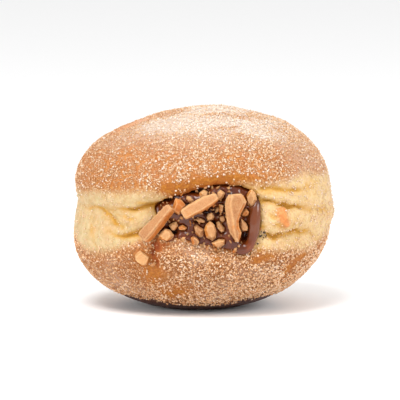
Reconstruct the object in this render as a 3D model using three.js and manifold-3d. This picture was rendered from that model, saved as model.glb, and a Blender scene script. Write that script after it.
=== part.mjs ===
// A filled doughnut: a plump fried bun with a pale waist, slit at the front and piped with
// chocolate cream, which carries three long almond slivers and a scatter of chopped almond.
// Millimetres, +Z up. The slit faces -Y, and the origin is under the middle of the flat foot.

import * as THREE from "three";
import { ConvexGeometry } from "three/addons/geometries/ConvexGeometry.js";
import { mergeVertices } from "three/addons/utils/BufferGeometryUtils.js";
import Module from "manifold-3d";

// ---- Driving dimensions ----------------------------------------------------------------

const WIDTH = 87.5; // left to right at the widest ring
const DEPTH = 85; // front to back
const HEIGHT = 67.9; // foot to crown
const WAIST_HEIGHT = 28.3; // height of the widest ring
const FOOT_RADIUS = 13.5; // flat spot that the bun rests on
const GAP = 0.3; // air between pieces that touch

// Outline over and under the widest ring: equal figures of 2 would make it an ellipse.
const CROWN = { fall: 3.5, bow: 1.73 };
const BASE = { fall: 2.03, bow: 2.15 };

const COLUMNS = 88; // facets round the bun
const ROWS = 42; // facets from foot to crown
const FRONT_FOCUS = 1.3; // how much closer the columns stand in the front half
const BAND_FOCUS = 1.3; // how much closer the rows stand at the waist

// Waist groove: deepest at the left, and a slight swelling instead at the right
const WAIST = { z: 35.2, spread: 5.2, depth: 0.65, leftward: 1.2 };

// The slit's outline seen from the front, [x, z], clockwise from its left corner
const MOUTH = [
  [-17.6, 38.2], [-14.2, 40.2], [-9.8, 42.2], [-4.2, 43.9], [0.4, 45.4], [4.6, 46.1],
  [10.0, 45.8], [14.8, 44.6], [17.6, 42.6], [18.8, 39.2], [18.9, 34.6], [18.3, 30.2],
  [16.6, 26.2], [13.4, 24.2], [9.2, 24.4], [2.6, 25.4], [-4.6, 27.4], [-10.4, 28.4],
  [-15.0, 30.8], [-17.6, 34.4],
];
const MOUTH_MIDDLE = { x: 2.2, z: 35.6 };
const MOUTH_RADIUS = 10; // about half its height
const MOUTH_POINTS = 42;
const LIP = { dip: 1.7, reach: 2.3, swell: 0.7 }; // how the skin turns in at the slit
const POCKET_BACK = 16.5; // how far behind the axis the pocket reaches

// Cream in the mouth
const CREAM_SINK = 2.2; // below the bun's smooth skin at the middle
const CREAM_SHADE = 2.3; // extra depth under the upper lip
const CREAM_MOUND = { rise: 1.7, spread: 2.4 }; // the cream swells up under each long sliver
const CREAM_HOLLOW = { x: 13.5, z: 28.4, wide: 1.6, high: 2.4, depth: 1.4 }; // inside the roll
const CREVICE = 3.0; // how far the cream stands back in the slit's upper left corner

const TAU = 2 * Math.PI;
const rad = THREE.MathUtils.degToRad;
const lerp = THREE.MathUtils.lerp;
const bump = (distance, spread) => Math.exp(-((distance / spread) ** 2));

// ---- Solids ----------------------------------------------------------------------------

const wasm = await Module();
wasm.setup();

// Closes a stack of equal rings of points into one body whose faces point outwards.
function closedLoft(rings) {
  const count = rings[0].length;
  const middle = (ring) =>
    ring.reduce((sum, p) => sum.add(p), new THREE.Vector3()).divideScalar(count);
  const points = [...rings.flat(), middle(rings[0]), middle(rings.at(-1))];
  const first = points.length - 2;
  const last = points.length - 1;
  const faces = [];
  for (let j = 0; j < count; j++) {
    const next = (j + 1) % count;
    faces.push([first, next, j]);
    for (let i = 0; i < rings.length - 1; i++) {
      const low = i * count;
      const high = low + count;
      faces.push([low + j, low + next, high + next], [low + j, high + next, high + j]);
    }
    const top = (rings.length - 1) * count;
    faces.push([last, top + j, top + next]);
  }
  const cross = new THREE.Vector3();
  const volume = faces.reduce((sum, [a, b, c]) => {
    return sum + points[a].dot(cross.crossVectors(points[b], points[c]));
  }, 0);
  const index = faces.flatMap(([a, b, c]) => (volume > 0 ? [a, b, c] : [a, c, b]));
  return new THREE.BufferGeometry().setFromPoints(points).setIndex(index);
}

function solidOf(geometry) {
  const merged = mergeVertices(geometry, 1e-4);
  return new wasm.Manifold(
    new wasm.Mesh({
      numProp: 3,
      vertProperties: new Float32Array(merged.attributes.position.array),
      triVerts: new Uint32Array(merged.index.array),
    }),
  );
}

function geometryOf(solid) {
  const { vertProperties, triVerts } = solid.getMesh();
  const geometry = new THREE.BufferGeometry();
  geometry.setAttribute("position", new THREE.BufferAttribute(vertProperties, 3));
  geometry.setIndex(new THREE.BufferAttribute(triVerts, 1));
  geometry.computeVertexNormals();
  return geometry;
}

// A cut can leave scraps: the largest body is the piece.
function largestBody(solid) {
  return solid.decompose().reduce((a, b) => (a.volume() > b.volume() ? a : b));
}

// A repeatable draw between 0 and 1 for each whole number.
function draw(seed) {
  const wave = Math.sin(seed * 127.1 + 11.7) * 43758.5453;
  return wave - Math.floor(wave);
}

// ---- The bun's smooth form ---------------------------------------------------------------

const footShare = (2 * FOOT_RADIUS) / WIDTH;
CROWN.rise = HEIGHT - WAIST_HEIGHT;
BASE.rise = WAIST_HEIGHT / (1 - footShare ** BASE.bow) ** (1 / BASE.fall);

// How much of its full width the bun has at a height: 1 at the waist, 0 at the crown.
function widthShare(z) {
  const { rise, fall, bow } = z >= WAIST_HEIGHT ? CROWN : BASE;
  const t = Math.abs(z - WAIST_HEIGHT) / rise;
  return Math.max(0, 1 - t ** fall) ** (1 / bow);
}

// Sideways place of the middle: the base sits a little left and the crown leans right.
function leanAt(z) {
  const crown = Math.max(0, z - 52) / 15;
  const base = Math.max(0, 30 - z) / 30;
  return 0.017 * (z - 30) - 0.6 + 3.2 * crown ** 2 - 1.1 * base;
}

// Where the smooth front of the bun stands, straight in from a point seen from the front.
function frontFace(x, z) {
  const across = (x - leanAt(z)) / (WIDTH / 2);
  return (-DEPTH / 2) * Math.sqrt(Math.max(0, widthShare(z) ** 2 - across ** 2));
}

// Equal steps along a run of samples whose length is weighted: { at, length } each.
function evenSteps(samples, count, total) {
  return Array.from({ length: count }, (_, i) => {
    const wanted = (samples.at(-1).length * i) / total;
    return samples.find((s) => s.length >= wanted).at;
  });
}

// Heights of the rows, closer together round the waist.
function rowHeights() {
  const steps = 600;
  const samples = [];
  let length = 0;
  let before = null;
  for (let k = 0; k <= steps; k++) {
    // The sine crowds the samples at the crown, where the outline runs level.
    const z = HEIGHT * Math.sin((k / steps) * (Math.PI / 2)) ** 0.75;
    const r = (widthShare(z) * WIDTH) / 2;
    if (before) {
      const focus = 1 + BAND_FOCUS * bump(z - MOUTH_MIDDLE.z, 14);
      length += Math.hypot(r - before.r, z - before.z) * focus;
    }
    before = { r, z };
    samples.push({ at: z, length });
  }
  return evenSteps(samples, ROWS + 1, ROWS + 0.6);
}

// Longitudes of the columns from back to back, closer together in the front half.
function columnLongitudes() {
  const steps = 4000;
  const samples = [];
  let length = 0;
  for (let k = 0; k <= steps; k++) {
    const longitude = TAU * (k / steps - 0.5);
    samples.push({ at: longitude, length });
    length += 1 + FRONT_FOCUS * THREE.MathUtils.smoothstep(Math.cos(longitude), -0.1, 0.4);
  }
  return evenSteps(samples, COLUMNS, COLUMNS);
}

// ---- The bun's relief --------------------------------------------------------------------

const mouthCurve = new THREE.CatmullRomCurve3(
  MOUTH.map(([x, z]) => new THREE.Vector3(x, 0, z)),
  true,
  "centripetal",
);
const mouthOutline = mouthCurve.getSpacedPoints(MOUTH_POINTS).slice(0, MOUTH_POINTS);

// A point of the mouth's outline, grown or shrunk about its middle: [x, z] from the front.
function mouthPoint(index, grow = 1) {
  const { x, z } = mouthOutline[index];
  return [
    lerp(MOUTH_MIDDLE.x, x, grow),
    lerp(MOUTH_MIDDLE.z, z, grow),
  ];
}

// Distance outside the mouth's outline in millimetres, and negative inside it.
function fromMouth(x, z) {
  const path = mouthOutline.concat(mouthOutline[0]).map((p) => [p.x, p.z]);
  let inside = false;
  for (let i = 1; i < path.length; i++) {
    const [ax, az] = path[i - 1];
    const [bx, bz] = path[i];
    if (az > z !== bz > z && x < ax + ((bx - ax) * (z - az)) / (bz - az)) {
      inside = !inside;
    }
  }
  return (inside ? -1 : 1) * toPath(x, z, path).away;
}

// Folds beside the slit, seen from the front: [x, z] along each valley, outwards from the
// slit. Each grows shallower and broader towards its far end.
const FOLDS = [
  { depth: 1.3, spread: 1.9, path: [[-27, 31], [-31, 33], [-34, 36], [-38, 35.4], [-43, 35]] },
  { depth: 1.6, spread: 1.8, path: [[-17, 31.2], [-23.5, 28.6], [-28, 27.4], [-32, 28.8]] },
  { depth: 1.4, spread: 2.0, path: [[-17.5, 39], [-23, 36.9], [-28, 36.4], [-33, 36.2]] },
  { depth: 1.8, spread: 1.9, path: [[20.5, 40.4], [24, 39.4], [29, 37.3], [34, 36.3], [42, 33.6]] },
  { depth: 1.1, spread: 1.8, path: [[20, 44.6], [25, 43.4], [31, 42.4], [38, 43.8]] },
  { depth: 1.6, spread: 1.8, path: [[21, 28.2], [26.5, 27.6], [30.6, 29], [35, 27.6], [39, 25.2]] },
  { depth: 1.0, spread: 1.5, path: [[-18.4, 26.5], [-17.2, 23], [-15.8, 18]] },
];

// Where a point lies by a path of straight stretches, both seen from the front: how far away
// from it, and what share of the stretches lies before the nearest point.
function toPath(x, z, path) {
  let nearest = { away: Infinity, share: 0 };
  for (let i = 1; i < path.length; i++) {
    const [ax, az] = path[i - 1];
    const [bx, bz] = path[i];
    const along = ((x - ax) * (bx - ax) + (z - az) * (bz - az)) / ((bx - ax) ** 2 + (bz - az) ** 2);
    const part = THREE.MathUtils.clamp(along, 0, 1);
    const away = Math.hypot(x - lerp(ax, bx, part), z - lerp(az, bz, part));
    if (away < nearest.away) {
      nearest = { away, share: (i - 1 + part) / (path.length - 1) };
    }
  }
  return nearest;
}

// Slow swells of the whole bun. What turns with the longitude dies out at the crown.
function swells(x, y, z, longitude) {
  const round = THREE.MathUtils.smoothstep(widthShare(z), 0.25, 0.9);
  const turning =
    0.3 * Math.sin(2 * longitude + 0.6) * Math.cos(z / 17) +
    0.3 * Math.sin(3 * longitude - 1.1 + z / 13) +
    0.2 * Math.sin(5 * longitude + 2.3 - z / 9);
  return turning * round + 0.3 * Math.sin(x / 8 + 0.8) * Math.cos(y / 10 + 0.4);
}

function waistGroove(z, longitude) {
  const side = Math.sin(longitude); // -1 at the left, 1 at the right
  const depth = WAIST.depth - WAIST.leftward * side;
  const height = WAIST.z + 1.2 * Math.sin(3 * longitude + 0.4) - 0.6 * Math.cos(longitude);
  const flap = 0.7 * bump(z - 31.4, 1.8) * bump(longitude - Math.PI / 2, 0.35);
  const flatter = 0.8 * bump(z - 27, 6) * bump(longitude + Math.PI / 2, 0.7);
  return flap - flatter - depth * bump(z - height, WAIST.spread);
}

// The skin round the slit: it turns in at the lips, swells behind them and is folded.
function frontFolds(x, y, z) {
  const near = fromMouth(x, z);
  let out = -LIP.dip * bump(Math.max(0, near), LIP.reach);
  out += LIP.swell * bump(near - 7, 4);
  for (const { depth, spread, path } of FOLDS) {
    const { away, share } = toPath(x, z, path);
    const deep = depth * (1 - 0.8 * THREE.MathUtils.smoothstep(share, 0.5, 1));
    const broad = spread * (1 + 0.5 * share);
    out += -deep * bump(away, broad) + 0.35 * deep * bump(away - 2.3 * broad, broad);
  }
  return out * THREE.MathUtils.smoothstep(-y, 5, 17);
}

// How far the skin stands out from the smooth form. Longitude 0 is the front.
function relief(x, y, z, longitude) {
  let out = swells(x, y, z, longitude) + waistGroove(z, longitude);
  out -= 0.8 * bump(x - 16, 9) * THREE.MathUtils.smoothstep(z, 58, 65);
  if (y < -5) {
    out += frontFolds(x, y, z);
  }
  return out * THREE.MathUtils.smoothstep(z, 0, 9);
}

// The bun without its pocket, grown outwards by a margin.
function bunBody(margin) {
  const longitudes = columnLongitudes();
  const rings = rowHeights().map((z) => {
    const share = widthShare(z);
    const { rise } = z >= WAIST_HEIGHT ? CROWN : BASE;
    return longitudes.map((longitude) => {
      const x = (WIDTH / 2) * share * Math.sin(longitude);
      const y = (-DEPTH / 2) * share * Math.cos(longitude);
      const outward = new THREE.Vector3(
        x / (WIDTH / 2) ** 2,
        y / (DEPTH / 2) ** 2,
        (z - WAIST_HEIGHT) / rise ** 2,
      ).normalize();
      const point = new THREE.Vector3(x + leanAt(z), y, z);
      return point.addScaledVector(outward, relief(point.x, y, z, longitude) + margin);
    });
  });
  return solidOf(closedLoft(rings));
}

// The pocket's rings from outside the bun to its blind end: [y, size against the mouth].
const POCKET_STATIONS = [
  [-52, 1.05], [-40, 1.01], [-26, 0.98], [-12, 0.94], [0, 0.85], [8, 0.7], [13, 0.48],
  [POCKET_BACK, 0.2],
];

function mouthRing(grow, inset, depthAt) {
  return mouthOutline.map((_, index) => {
    const [x, z] = mouthPoint(index, grow - inset / MOUTH_RADIUS);
    return new THREE.Vector3(x, depthAt(x, z), z);
  });
}

function pocket(inset) {
  const rings = POCKET_STATIONS.map(([y, grow]) => mouthRing(grow, inset, () => y));
  return solidOf(closedLoft(rings));
}

// The slit bun. A margin grows its skin and narrows its pocket.
function bun(margin = 0) {
  return bunBody(margin).subtract(pocket(margin));
}

// ---- The cream -----------------------------------------------------------------------------

// Long slivers: two ends seen from the front, how far each end's middle stands out from the
// bun's smooth skin, the width of the broad face and how far it strays to the side from end to
// end, where a ridge runs along that face, the thickness and the roll.
const SLIVERS = {
  sliver_left: {
    ends: [[-10.6, 38.8], [-20.2, 27.7]],
    out: [1.5, 2.6],
    widths: [3.0, 3.4, 3.8, 4.3, 4.6, 4.4],
    strays: [0, 0.1, 0, 0, 0.1, 0.1],
    thickness: 3.5,
    roll: 37,
  },
  sliver_middle: {
    ends: [[-6.9, 36.2], [4.5, 42.7]],
    out: [2.2, 1.8],
    widths: [3.8, 4.2, 4.3, 4.1, 2.8],
    strays: [0, 0, 0.1, 0.1, 0.3],
    thickness: 2.8,
    roll: -16,
  },
  sliver_right: {
    ends: [[10.7, 43.1], [11.9, 27.1]],
    out: [1.9, 2.1],
    widths: [5.4, 7.3, 6.2, 4.8, 4.0, 3.7, 3.7, 1.7],
    strays: [0.2, 0.1, 0.7, 1.3, 1.6, 1.5, 0.9, 0.6],
    ridge: [0.3, 0.45, 0.3, 0.05, -0.1, -0.1, 0, 0],
    thickness: 3.2,
    roll: 3,
  },
};

// Where the cream's face stands: sunk and in shade under the upper lip, fuller at the lower.
function creamFace(x, z) {
  const height = (z - MOUTH_MIDDLE.z) / MOUTH_RADIUS;
  const shade = CREAM_SHADE * THREE.MathUtils.smoothstep(height, 0.3, 1.05);
  const fuller = -1.5 * THREE.MathUtils.smoothstep(-height, 0.3, 1);
  const swirl = 0.45 * Math.sin(0.42 * x + 0.25 * z) * Math.cos(0.5 * z - 0.1 * x);
  const mounds = Object.values(SLIVERS).map(({ ends }) =>
    CREAM_MOUND.rise * bump(toPath(x, z, ends).away, CREAM_MOUND.spread),
  );
  const { x: hollowX, z: hollowZ, wide, high, depth } = CREAM_HOLLOW;
  const hollow = depth * bump(Math.hypot((x - hollowX) / wide, (z - hollowZ) / high), 1);
  const face = frontFace(x, z) + CREAM_SINK + shade + fuller + swirl + hollow;
  const { smoothstep } = THREE.MathUtils;
  const corner = CREVICE * smoothstep(-x, 13.6, 15.6) * smoothstep(z, 34, 36);
  return mounds.reduce((y, rise) => y - rise, face + corner);
}

function creamPlug() {
  const face = [0.08, 0.24, 0.4, 0.56, 0.72, 0.86, 0.99].map((share) =>
    mouthRing(share, 0, creamFace),
  );
  const inside = POCKET_STATIONS.filter(([y]) => y > -30).map(([y, grow]) =>
    mouthRing(grow, -1, () => y - (y === POCKET_BACK ? 0.5 : 0)),
  );
  return solidOf(closedLoft([...face, ...inside]));
}

// The rolled edge of cream: down the right of the mouth, over the lower lip and back left.
// Each row is [x, z, radius, how far its middle lies behind the bun's smooth skin].
const ROLL = [
  [16.8, 42.0, 0.9, 2.4], [17.2, 39.0, 1.55, 1.3], [17.0, 36.0, 1.85, 0.7],
  [16.9, 33.0, 1.85, 0.35], [16.6, 29.8, 1.65, 0.15], [15.8, 26.9, 1.5, 0.05],
  [14.3, 24.5, 1.55, -0.1], [12.2, 24.1, 1.3, 0.1], [10.2, 24.8, 0.95, 0.8],
];
const ROLL_STEPS = 20;
const ROLL_SIDES = 11;

function creamRoll() {
  const path = new THREE.CatmullRomCurve3(
    ROLL.map(([x, z, , behind]) => new THREE.Vector3(x, frontFace(x, z) + behind, z)),
  );
  const girth = new THREE.SplineCurve(ROLL.map(([, , radius], i) => new THREE.Vector2(i, radius)));
  const rings = Array.from({ length: ROLL_STEPS + 1 }, (_, i) => {
    const share = i / ROLL_STEPS;
    const at = path.getPoint(share);
    const along = path.getTangent(share);
    const side = new THREE.Vector3().crossVectors(along, new THREE.Vector3(0, 1, 0)).normalize();
    const out = new THREE.Vector3().crossVectors(side, along);
    const radius = girth.getPoint(share).y;
    return Array.from({ length: ROLL_SIDES }, (_, j) => {
      const angle = (TAU * j) / ROLL_SIDES;
      return at
        .clone()
        .addScaledVector(side, radius * Math.cos(angle))
        .addScaledVector(out, radius * Math.sin(angle));
    });
  });
  return solidOf(closedLoft(rings));
}

// ---- The almonds ---------------------------------------------------------------------------

// A broad section with its corners taken off: [across, out]
const SLIVER_SECTION = [
  [1, 0.55], [0.78, 1], [-0.72, 1], [-1, 0.6], [-1, -0.6], [-0.75, -1], [0.75, -1], [1, -0.5],
];

function sliver({ ends, out, widths, strays, ridge, thickness, roll }, grow = 0, seed = 1) {
  const [a, b] = ends.map(([x, z], i) => new THREE.Vector3(x, frontFace(x, z) - out[i], z));
  const along = b.clone().sub(a).normalize();
  const facing = new THREE.Vector3(0, -1, 0);
  facing.addScaledVector(along, -facing.dot(along)).normalize().applyAxisAngle(along, rad(roll));
  const side = new THREE.Vector3().crossVectors(along, facing);
  const last = widths.length - 1;
  const stations = [[0, 0.78], ...widths.map((_, i) => [lerp(0.05, 0.95, i / last), 1]), [1, 0.76]];
  const rings = stations.map(([share, size], i) => {
    const nearest = THREE.MathUtils.clamp(i - 1, 0, last);
    const width = widths[nearest] * size + 2 * grow;
    const depth = thickness * size + 2 * grow;
    const reach = share < 0.5 ? -grow : grow;
    const at = a.clone().lerp(b, share).addScaledVector(along, reach);
    at.addScaledVector(side, strays[nearest]);
    const section = [...SLIVER_SECTION];
    if (ridge) section.splice(2, 0, [ridge[nearest], 1.28]);
    return section.map(([u, v], j) => {
      const uneven = 0.18 * (draw(seed * 50 + i * 9 + j) - 0.5);
      return at
        .clone()
        .addScaledVector(side, (width / 2) * u + uneven)
        .addScaledVector(facing, (depth / 2) * v + uneven);
    });
  });
  return solidOf(closedLoft(rings));
}

// Chopped pieces in the cream: how far each stands out of the cream's face, then its corners
// seen from the front, [x, z].
const CHIPS = [
  [2.9, [16.1, 44.2], [17.3, 43.2], [17.9, 40.7], [17.3, 38.6], [16.2, 37.9], [14.8, 38.8], [14.4, 41.7], [15.0, 43.2]],
  [3.4, [2.1, 34.0], [3.6, 32.9], [4.3, 30.6], [4.2, 28.3], [3.0, 27.2], [1.0, 28.5], [0.2, 31.0], [0.8, 32.7]],
  [3.0, [-12.8, 31.3], [-11.1, 30.8], [-9.8, 29.0], [-10.4, 27.7], [-12.5, 27.0], [-14.5, 27.7], [-15.1, 28.9], [-14.0, 30.4]],
  [2.4, [-9.3, 41.6], [-7.2, 40.9], [-5.9, 39.3], [-8.1, 35.9], [-9.6, 36.7], [-10.8, 37.6]],
  [2.6, [2.6, 26.6], [5.1, 27.9], [7.2, 27.7], [7.0, 26.0], [4.9, 24.8], [3.6, 25.5]],
  [2.4, [-4.3, 28.3], [-3.4, 28.9], [-2.0, 28.3], [-1.3, 27.1], [-1.9, 26.0], [-3.6, 25.8]],
  [2.3, [0.0, 44.3], [1.5, 43.6], [1.3, 41.7], [0.2, 40.9], [-1.3, 41.9], [-1.5, 43.2]],
  [2.2, [5.7, 44.3], [7.2, 43.2], [6.7, 41.7], [5.4, 40.7], [4.4, 41.9], [4.6, 43.4]],
  [1.9, [-5.7, 42.2], [-4.5, 42.0], [-3.2, 40.7], [-3.6, 39.5], [-4.9, 40.1], [-5.8, 41.2]],
  [2.0, [-3.2, 32.1], [-2.4, 32.7], [0.2, 31.1], [-0.2, 28.7], [-1.0, 28.3], [-2.8, 29.8]],
  [2.0, [4.2, 33.2], [5.1, 33.8], [7.0, 31.4], [7.0, 30.2], [5.9, 29.9], [4.4, 31.6]],
  [2.0, [12.6, 34.6], [14.3, 32.9], [14.9, 31.3], [14.7, 30.4], [12.8, 30.3], [12.0, 32.1]],
  [1.9, [-10.4, 33.2], [-9.1, 33.6], [-8.5, 32.1], [-9.4, 30.6], [-10.6, 30.6], [-11.7, 32.3]],
  [1.3, [-8.5, 31.7], [-7.0, 32.5], [-5.5, 31.5], [-6.2, 30.6], [-8.1, 30.8]],
  [1.9, [1.5, 36.3], [2.8, 36.7], [3.7, 35.3], [3.1, 34.2], [1.5, 33.8], [1.0, 35.1]],
  [1.5, [5.2, 39.4], [6.8, 39.1], [6.6, 37.0], [5.8, 36.1], [5.0, 37.4]],
  [1.4, [13.0, 37.0], [14.3, 37.8], [15.3, 36.7], [14.9, 35.3], [13.2, 35.1], [12.4, 35.8]],
  [1.3, [-3.0, 34.4], [-0.9, 34.8], [0.6, 33.9], [0.4, 33.2], [-1.7, 33.4]],
  [1.4, [5.4, 35.1], [6.8, 35.4], [7.4, 34.2], [6.6, 33.4], [5.5, 33.9]],
];

// One chopped piece that has fallen onto the crust below the slit
const FALLEN_CHIP = [2.7, [-21.3, 24.1], [-17.9, 21.7], [-19.0, 18.6], [-20.3, 18.5], [-22.8, 20.1], [-22.9, 21.9]];
const CHIP_ROOT = 1.3; // how deep a chip is sunk in what it lies on

// A chip is the hull of its outline at three depths: sunk, at its girth and at its smaller,
// tilted outer face.
function chip([out, ...outline], faceAt, seed, share = 0.6) {
  const loose = (k) => draw(seed * 31 + k) - 0.5;
  const middle = outline.reduce(([a, b], [x, z]) => [a + x, b + z]).map((v) => v / outline.length);
  const face = faceAt(...middle);
  const tilt = [0.22 * loose(90), 0.22 * loose(91)];
  const shift = [1.8 * loose(92), 1.8 * loose(93)];
  const corners = outline.flatMap(([x, z], j) => {
    const [across, up] = [x - middle[0], z - middle[1]];
    const top = out * (1 + 0.16 * loose(j)) + tilt[0] * across + tilt[1] * up;
    const inwards = share + 0.3 * loose(j + 20);
    return [
      new THREE.Vector3(x - 0.08 * across, face + CHIP_ROOT, z - 0.08 * up),
      new THREE.Vector3(x, face - out * (0.5 + 0.4 * loose(j + 40)), z),
      new THREE.Vector3(
        middle[0] + across * inwards + shift[0] * 0.4,
        face - top,
        middle[1] + up * inwards + shift[1] * 0.4,
      ),
    ];
  });
  const geometry = new ConvexGeometry(corners);
  geometry.deleteAttribute("normal");
  return solidOf(geometry);
}

// ---- The pieces ------------------------------------------------------------------------------

const doughnut = new THREE.Group();

function addPiece(name, solid, colour, roughness) {
  const material = new THREE.MeshStandardMaterial({ color: colour, roughness, metalness: 0 });
  const mesh = new THREE.Mesh(geometryOf(solid), material);
  mesh.name = name;
  doughnut.add(mesh);
}

const fallen = chip(FALLEN_CHIP, frontFace, 77, 0.8);
addPiece("bun", largestBody(bun().add(fallen)), "#d39a5c", 0.85);

let cream = creamPlug().add(creamRoll());
CHIPS.forEach((place, i) => {
  cream = cream.add(chip(place, creamFace, i + 1));
});
cream = cream.subtract(bun(GAP));
Object.values(SLIVERS).forEach((shape, i) => {
  cream = cream.subtract(sliver(shape, GAP, i + 1));
});
addPiece("cream", largestBody(cream), "#5a352b", 0.3);

Object.entries(SLIVERS).forEach(([name, shape], i) => {
  addPiece(name, sliver(shape, 0, i + 1), "#dfa468", 0.6);
});

// The middle of the whole is moved over the origin.
const bounds = new THREE.Box3().setFromObject(doughnut);
const middle = bounds.getCenter(new THREE.Vector3());
doughnut.position.set(-middle.x, -middle.y, -bounds.min.z);

export default doughnut;
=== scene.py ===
"""A filled doughnut: fried dough with a pale waist, chocolate cream in its slit, chopped
almonds on the cream and sugar over the crust. Metres, +Z up, and the slit faces -Y."""

import math
from contextlib import contextmanager

import bpy
import numpy as np
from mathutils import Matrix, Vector


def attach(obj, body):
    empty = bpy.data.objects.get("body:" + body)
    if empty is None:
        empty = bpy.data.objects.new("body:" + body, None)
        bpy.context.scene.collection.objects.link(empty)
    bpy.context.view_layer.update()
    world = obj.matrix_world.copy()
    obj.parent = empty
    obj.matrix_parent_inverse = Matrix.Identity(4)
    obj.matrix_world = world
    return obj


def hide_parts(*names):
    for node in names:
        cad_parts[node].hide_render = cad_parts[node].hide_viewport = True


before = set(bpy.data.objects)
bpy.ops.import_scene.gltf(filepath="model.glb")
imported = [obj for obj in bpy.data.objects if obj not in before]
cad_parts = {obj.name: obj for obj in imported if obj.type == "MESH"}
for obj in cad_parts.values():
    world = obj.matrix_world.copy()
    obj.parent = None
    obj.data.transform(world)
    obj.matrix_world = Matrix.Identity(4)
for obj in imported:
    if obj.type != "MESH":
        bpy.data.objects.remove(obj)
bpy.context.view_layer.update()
SCENE = bpy.context.scene

# ---- The doughnut's own millimetres ----

ORIGIN = np.array([-0.1632, 1.7639, 0.0])  # the doughnut's own zero in the row frame, in mm
WIDTH, DEPTH, HEIGHT = 87.5, 85.0, 67.9
WAIST_HEIGHT = 28.3
FOOT_RADIUS = 13.5
CROWN_FALL, CROWN_BOW = 3.5, 1.73
BASE_FALL, BASE_BOW = 2.03, 2.15
CROWN_RISE = HEIGHT - WAIST_HEIGHT
BASE_RISE = WAIST_HEIGHT / (1 - (2 * FOOT_RADIUS / WIDTH) ** BASE_BOW) ** (1 / BASE_FALL)

MOUTH = [
    (-17.6, 38.2), (-14.2, 40.2), (-9.8, 42.2), (-4.2, 43.9), (0.4, 45.4), (4.6, 46.1),
    (10.0, 45.8), (14.8, 44.6), (17.6, 42.6), (18.8, 39.2), (18.9, 34.6), (18.3, 30.2),
    (16.6, 26.2), (13.4, 24.2), (9.2, 24.4), (2.6, 25.4), (-4.6, 27.4), (-10.4, 28.4),
    (-15.0, 30.8), (-17.6, 34.4),
]
MOUTH_MIDDLE = (2.2, 35.6)
MOUTH_RADIUS = 10.0

# Folds beside the slit, seen from the front: depth of the sharp crease, then [x, z] along it
CREASES = [
    (0.55, [(-27, 31), (-31, 33), (-34, 36), (-38, 35.4), (-43, 35)]),
    (0.90, [(-17, 31.2), (-23.5, 28.6), (-28, 27.4), (-32, 28.8)]),
    (0.80, [(-17.5, 39), (-23, 36.9), (-28, 36.4), (-33, 36.2)]),
    (0.95, [(20.5, 40.4), (24, 39.4), (29, 37.3), (34, 36.3), (42, 33.6)]),
    (0.75, [(20, 44.6), (25, 43.4), (31, 42.4), (38, 43.8)]),
    (1.05, [(21, 28.2), (26.5, 27.6), (30.6, 29), (35, 27.6), (39, 25.2)]),
    (0.85, [(-16.2, 27.6), (-17.2, 26.2), (-17.2, 24.1), (-17, 22.4), (-16.1, 20.8),
            (-15.3, 19.2)]),
    (0.35, [(-29, 34.5), (-25, 33.6), (-21.5, 34)]),
    (0.30, [(23, 35.5), (27, 33.2), (31, 33.6)]),
    (0.30, [(24, 32), (28, 31), (33, 31.6)]),
]

# Stains and painted shade beside the slit, from golden where pale dough shows to dark where it
# is torn: x, z, half width, half height, amount
STAINS = [
    (21.6, 43.2, 2.4, 1.0, 0.4), (20.6, 39.6, 1.6, 0.8, 0.5), (20.2, 31.4, 0.8, 1.2, 0.45),
    (-19.4, 39.6, 3.0, 0.7, 0.45), (-15.9, 25.4, 1.6, 1.9, 1.5), (-16.8, 22.6, 1.0, 2.0, 1.2),
    (-15.4, 19.6, 0.8, 1.4, 0.9), (-13.2, 25.8, 1.6, 0.8, 0.7), (19.4, 23.6, 2.8, 0.9, 0.45),
]


def to_row(points):
    """The doughnut's own millimetres to row-frame metres."""
    return (np.asarray(points, float) + ORIGIN) / 1000.0


def smooth(value, low, high):
    t = np.clip((value - low) / (high - low), 0, 1)
    return t * t * (3 - 2 * t)


def bump(distance, spread):
    return np.exp(-((distance / spread) ** 2))


def spot_distance(x, z, across, up, wide, high):
    """How far from an oval spot's middle, 1 at its edge."""
    return np.hypot((x - across) / wide, (z - up) / high)


def width_share(z):
    """How wide the bun is at a height, as a share of its widest."""
    crown = z >= WAIST_HEIGHT
    t = np.abs(z - WAIST_HEIGHT) / np.where(crown, CROWN_RISE, BASE_RISE)
    fall = np.where(crown, CROWN_FALL, BASE_FALL)
    bow = np.where(crown, CROWN_BOW, BASE_BOW)
    return np.clip(1 - t**fall, 0, None) ** (1 / bow)


def lean_at(z):
    """How far the bun's middle lies to the right at a height."""
    crown = np.clip(z - 52, 0, None) / 15
    base = np.clip(30 - z, 0, None) / 30
    return 0.017 * (z - 30) - 0.6 + 3.2 * crown**2 - 1.1 * base


def front_face(x, z):
    """Where the bun's smooth front stands, straight in from a point seen from the front."""
    across = (x - lean_at(z)) / (WIDTH / 2)
    return (-DEPTH / 2) * np.sqrt(np.clip(width_share(z) ** 2 - across**2, 0, None))


# Long almond slivers, from end to end seen from the front
SLIVER_ENDS = {
    "sliver_left": [(-10.6, 38.8), (-20.2, 27.7)],
    "sliver_middle": [(-6.9, 36.2), (4.5, 42.7)],
    "sliver_right": [(10.7, 43.1), (11.9, 27.1)],
}


def cream_face(x, z):
    """Where the cream's smooth front stands."""
    height = (z - MOUTH_MIDDLE[1]) / MOUTH_RADIUS
    shade = 2.3 * smooth(height, 0.3, 1.05)
    fuller = -1.5 * smooth(-height, 0.3, 1)
    swirl = 0.45 * np.sin(0.42 * x + 0.25 * z) * np.cos(0.5 * z - 0.1 * x)
    hollow = 1.4 * bump(spot_distance(x, z, 13.5, 28.4, 1.6, 2.4), 1)
    hollow += 3.0 * smooth(-x, 13.6, 15.6) * smooth(z, 34, 36)
    mound = sum(bump(to_path(x, z, ends)[0], 2.4) for ends in SLIVER_ENDS.values())
    return front_face(x, z) + 2.2 + shade + fuller + swirl + hollow - 1.7 * mound


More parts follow.
